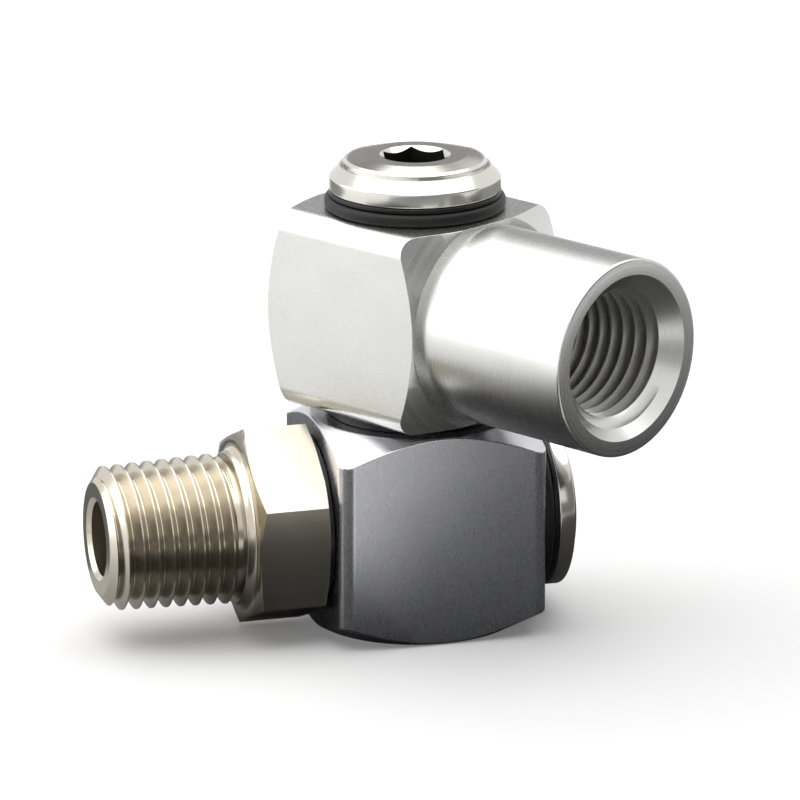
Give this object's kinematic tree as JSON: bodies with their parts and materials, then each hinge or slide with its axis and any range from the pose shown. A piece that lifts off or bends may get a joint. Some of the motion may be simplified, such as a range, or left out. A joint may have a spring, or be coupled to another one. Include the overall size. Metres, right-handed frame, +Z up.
{
  "type": "hydraulic rotary union",
  "caption": "Two-plane hydraulic swivel fitting: square centre block, female port body turning on a socket-head screw, male threaded adapter turning at a right angle to it.",
  "frame": {"origin": "centre of the centre block's bottom face, on the vertical swivel axis", "axes": "+Z up along the port body's swivel axis; -X out along the male adapter, which swivels about X at half the block's height"},
  "size_m": [0.0517, 0.0405, 0.0444],
  "materials": {
    "satin_nickel": "satin nickel plate on machined bar",
    "plated_steel": "machined steel with a warm nickel plate",
    "bright_nickel": "bright turned nickel plate",
    "black_acetal": "turned acetal",
    "acetal_dark": "turned acetal",
    "black_rubber": "moulded nitrile rubber",
    "nitrile": "moulded nitrile rubber",
    "bronze": "sintered bronze",
    "ptfe": "skived PTFE"
  },
  "bodies": {
    "centre_block": {"centre_block": "satin_nickel", "top_swivel_screw": "bright_nickel", "top_thrust_washer": "black_acetal", "top_outer_oring": "nitrile", "top_outer_backup_ring": "ptfe", "top_inner_oring": "nitrile", "top_inner_backup_ring": "ptfe", "top_base_washer": "acetal_dark", "top_static_seal": "nitrile", "side_outer_bush": "bronze", "side_inner_bush": "bronze", "side_dust_seal": "black_rubber"},
    "port_body": {"port_body": "satin_nickel", "top_outer_bush": "bronze", "top_inner_bush": "bronze", "top_dust_seal": "black_rubber"},
    "male_stem": {"male_adapter": "plated_steel", "side_swivel_screw": "bright_nickel", "side_thrust_washer": "black_acetal", "side_outer_oring": "nitrile", "side_outer_backup_ring": "ptfe", "side_inner_oring": "nitrile", "side_inner_backup_ring": "ptfe", "side_base_washer": "acetal_dark", "side_static_seal": "nitrile"}
  },
  "joints": [
    {"name": "port_swivel", "type": "hinge", "parent": "centre_block", "child": "port_body", "pos_m": [0, 0, 0.03015], "axis": [0, 0, 1], "continuous": true},
    {"name": "stem_swivel", "type": "hinge", "parent": "centre_block", "child": "male_stem", "pos_m": [0, 0, 0.01], "axis": [1, 0, 0], "continuous": true}
  ]
}
